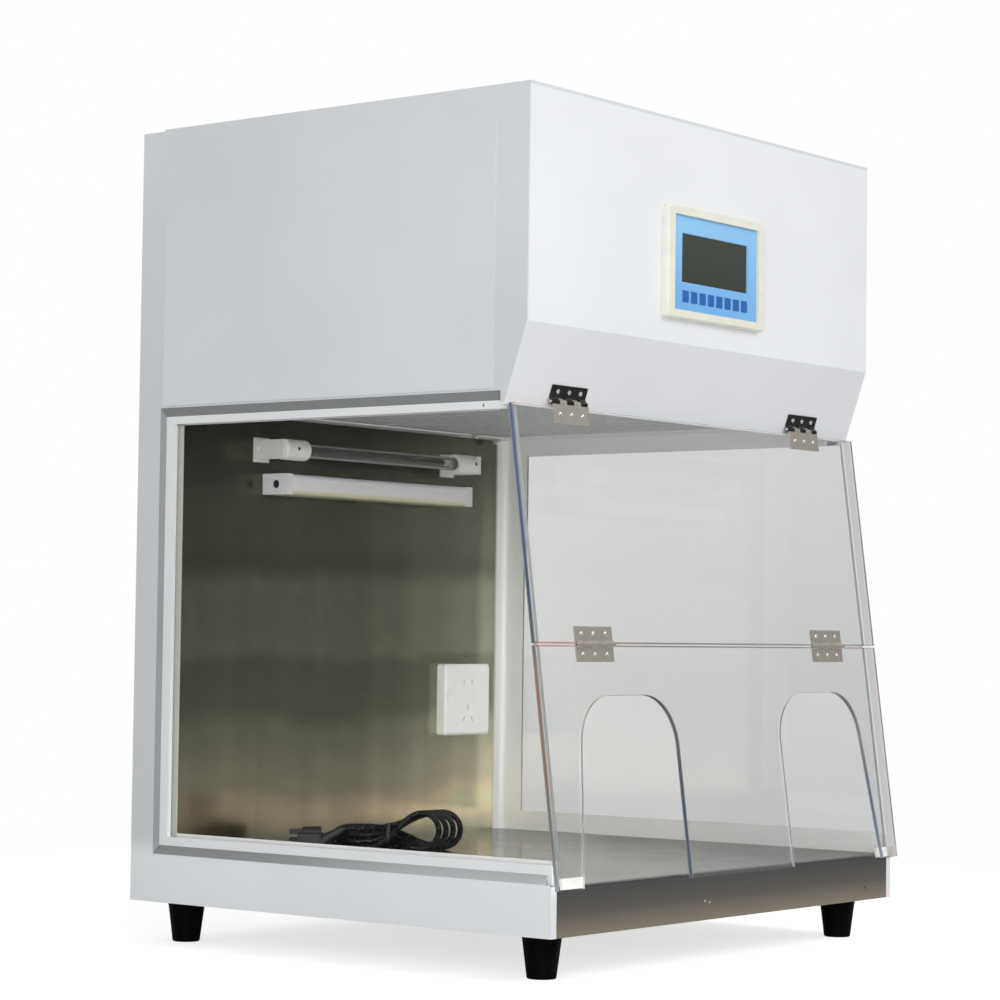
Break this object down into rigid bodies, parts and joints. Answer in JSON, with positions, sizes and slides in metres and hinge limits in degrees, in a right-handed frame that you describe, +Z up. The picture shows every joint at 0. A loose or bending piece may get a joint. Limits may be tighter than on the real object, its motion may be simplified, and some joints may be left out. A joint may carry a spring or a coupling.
{
  "type": "laminar flow hood",
  "caption": "Bench-top vertical laminar flow hood with a steel cabinet, glazed sides, a folding sash with arm openings, a lamp, a socket, a control panel and rubber feet.",
  "frame": {"origin": "centre of the hood's box at the level that the feet stand on", "axes": "+X to the right seen from the front, +Y to the back, +Z up"},
  "size_m": [0.6524, 0.5896, 0.895],
  "materials": {
    "cabinet_sheet": "satin",
    "side_paint": "satin powder coat",
    "front_paint": "satin powder coat",
    "stainless": "brushed",
    "zinc_sheet": "galvanised",
    "white_screen": "satin",
    "filter_frame": "satin",
    "filter_paper": "matt",
    "motor_casting": "painted",
    "bright_steel": "ground",
    "black_steel": "matt",
    "filter_pad": "fibrous",
    "white_frame": "satin",
    "window_glass": "clear",
    "cream_plastic": "moulded",
    "blue_film": "satin film",
    "display_glass": "gloss",
    "circuit_board": "lacquered",
    "key_plastic": "satin",
    "black_plastic": "moulded",
    "white_plastic": "moulded",
    "tube_glass": "clear",
    "opal_cover": "opal",
    "clear_acrylic": "clear acrylic",
    "hinge_steel": "polished",
    "black_rubber": "moulded",
    "black_cable": "satin sheath"
  },
  "bodies": {
    "cabinet": {"base_pan": "cabinet_sheet", "work_surface": "stainless", "left_side_skin": "side_paint", "right_side_skin": "side_paint", "back_panel": "side_paint", "roof_panel": "side_paint", "front_cover": "front_paint", "left_service_panel": "side_paint", "right_service_panel": "side_paint", "chamber_liner": "stainless", "filter_deck": "zinc_sheet", "diffuser_screen": "white_screen", "filter_frame": "filter_frame", "filter_pleats": "filter_paper", "blower_plate": "zinc_sheet", "blower_casing": "zinc_sheet", "blower_motor": "motor_casting", "intake_grille": "side_paint", "prefilter_pad": "filter_pad", "left_window_frame": "white_frame", "right_window_frame": "white_frame", "left_window_glass": "window_glass", "right_window_glass": "window_glass", "panel_bezel": "cream_plastic", "panel_face": "blue_film", "display": "display_glass", "control_board": "circuit_board", "mains_inlet": "black_plastic", "lamp_ballast": "white_plastic", "uv_tube": "tube_glass", "uv_holder_left": "white_plastic", "uv_holder_right": "white_plastic", "batten_body": "white_plastic", "batten_cover": "opal_cover", "socket_outlet": "white_plastic", "socket_back_box": "zinc_sheet", "upper_hinge_fixed_leaves": "hinge_steel", "upper_hinge_pins": "hinge_steel", "sash_rests": "white_plastic", "rubber_feet": "black_rubber", "mains_lead": "black_cable", "lead_connector": "black_plastic", "lead_plug": "black_plastic"},
    "upper_sash_leaf": {"upper_sash": "clear_acrylic", "upper_hinge_swing_leaves": "hinge_steel", "mid_hinge_upper_leaves": "hinge_steel", "mid_hinge_pins": "hinge_steel"},
    "lower_sash_leaf": {"lower_sash": "clear_acrylic", "mid_hinge_lower_leaves": "hinge_steel"},
    "rotor": {"impeller": "black_steel", "motor_shaft": "bright_steel"},
    "button_1": {"key_1": "key_plastic"},
    "button_2": {"key_2": "key_plastic"},
    "button_3": {"key_3": "key_plastic"},
    "button_4": {"key_4": "key_plastic"},
    "button_5": {"key_5": "key_plastic"},
    "button_6": {"key_6": "key_plastic"},
    "button_7": {"key_7": "key_plastic"},
    "button_8": {"key_8": "key_plastic"}
  },
  "joints": [
    {"name": "upper_sash_hinge", "type": "hinge", "parent": "cabinet", "child": "upper_sash_leaf", "pos_m": [0, -0.22677, 0.579], "axis": [-1, 0, 0], "range_deg": [0, 70]},
    {"name": "lower_sash_hinge", "type": "hinge", "parent": "upper_sash_leaf", "child": "lower_sash_leaf", "pos_m": [0, -0.26494, 0.33344], "axis": [-1, 0, 0], "range_deg": [0, 178]},
    {"name": "blower_spin", "type": "hinge", "parent": "cabinet", "child": "rotor", "pos_m": [0, 0.0453, 0.7835], "axis": [1, 0, 0], "continuous": true},
    {"name": "key_1_press", "type": "slide", "parent": "cabinet", "child": "button_1", "axis": [0, 1, 0], "range_m": [0, 0.0005], "stiffness_N_per_m": 400},
    {"name": "key_2_press", "type": "slide", "parent": "cabinet", "child": "button_2", "axis": [0, 1, 0], "range_m": [0, 0.0005], "stiffness_N_per_m": 400},
    {"name": "key_3_press", "type": "slide", "parent": "cabinet", "child": "button_3", "axis": [0, 1, 0], "range_m": [0, 0.0005], "stiffness_N_per_m": 400},
    {"name": "key_4_press", "type": "slide", "parent": "cabinet", "child": "button_4", "axis": [0, 1, 0], "range_m": [0, 0.0005], "stiffness_N_per_m": 400},
    {"name": "key_5_press", "type": "slide", "parent": "cabinet", "child": "button_5", "axis": [0, 1, 0], "range_m": [0, 0.0005], "stiffness_N_per_m": 400},
    {"name": "key_6_press", "type": "slide", "parent": "cabinet", "child": "button_6", "axis": [0, 1, 0], "range_m": [0, 0.0005], "stiffness_N_per_m": 400},
    {"name": "key_7_press", "type": "slide", "parent": "cabinet", "child": "button_7", "axis": [0, 1, 0], "range_m": [0, 0.0005], "stiffness_N_per_m": 400},
    {"name": "key_8_press", "type": "slide", "parent": "cabinet", "child": "button_8", "axis": [0, 1, 0], "range_m": [0, 0.0005], "stiffness_N_per_m": 400}
  ]
}
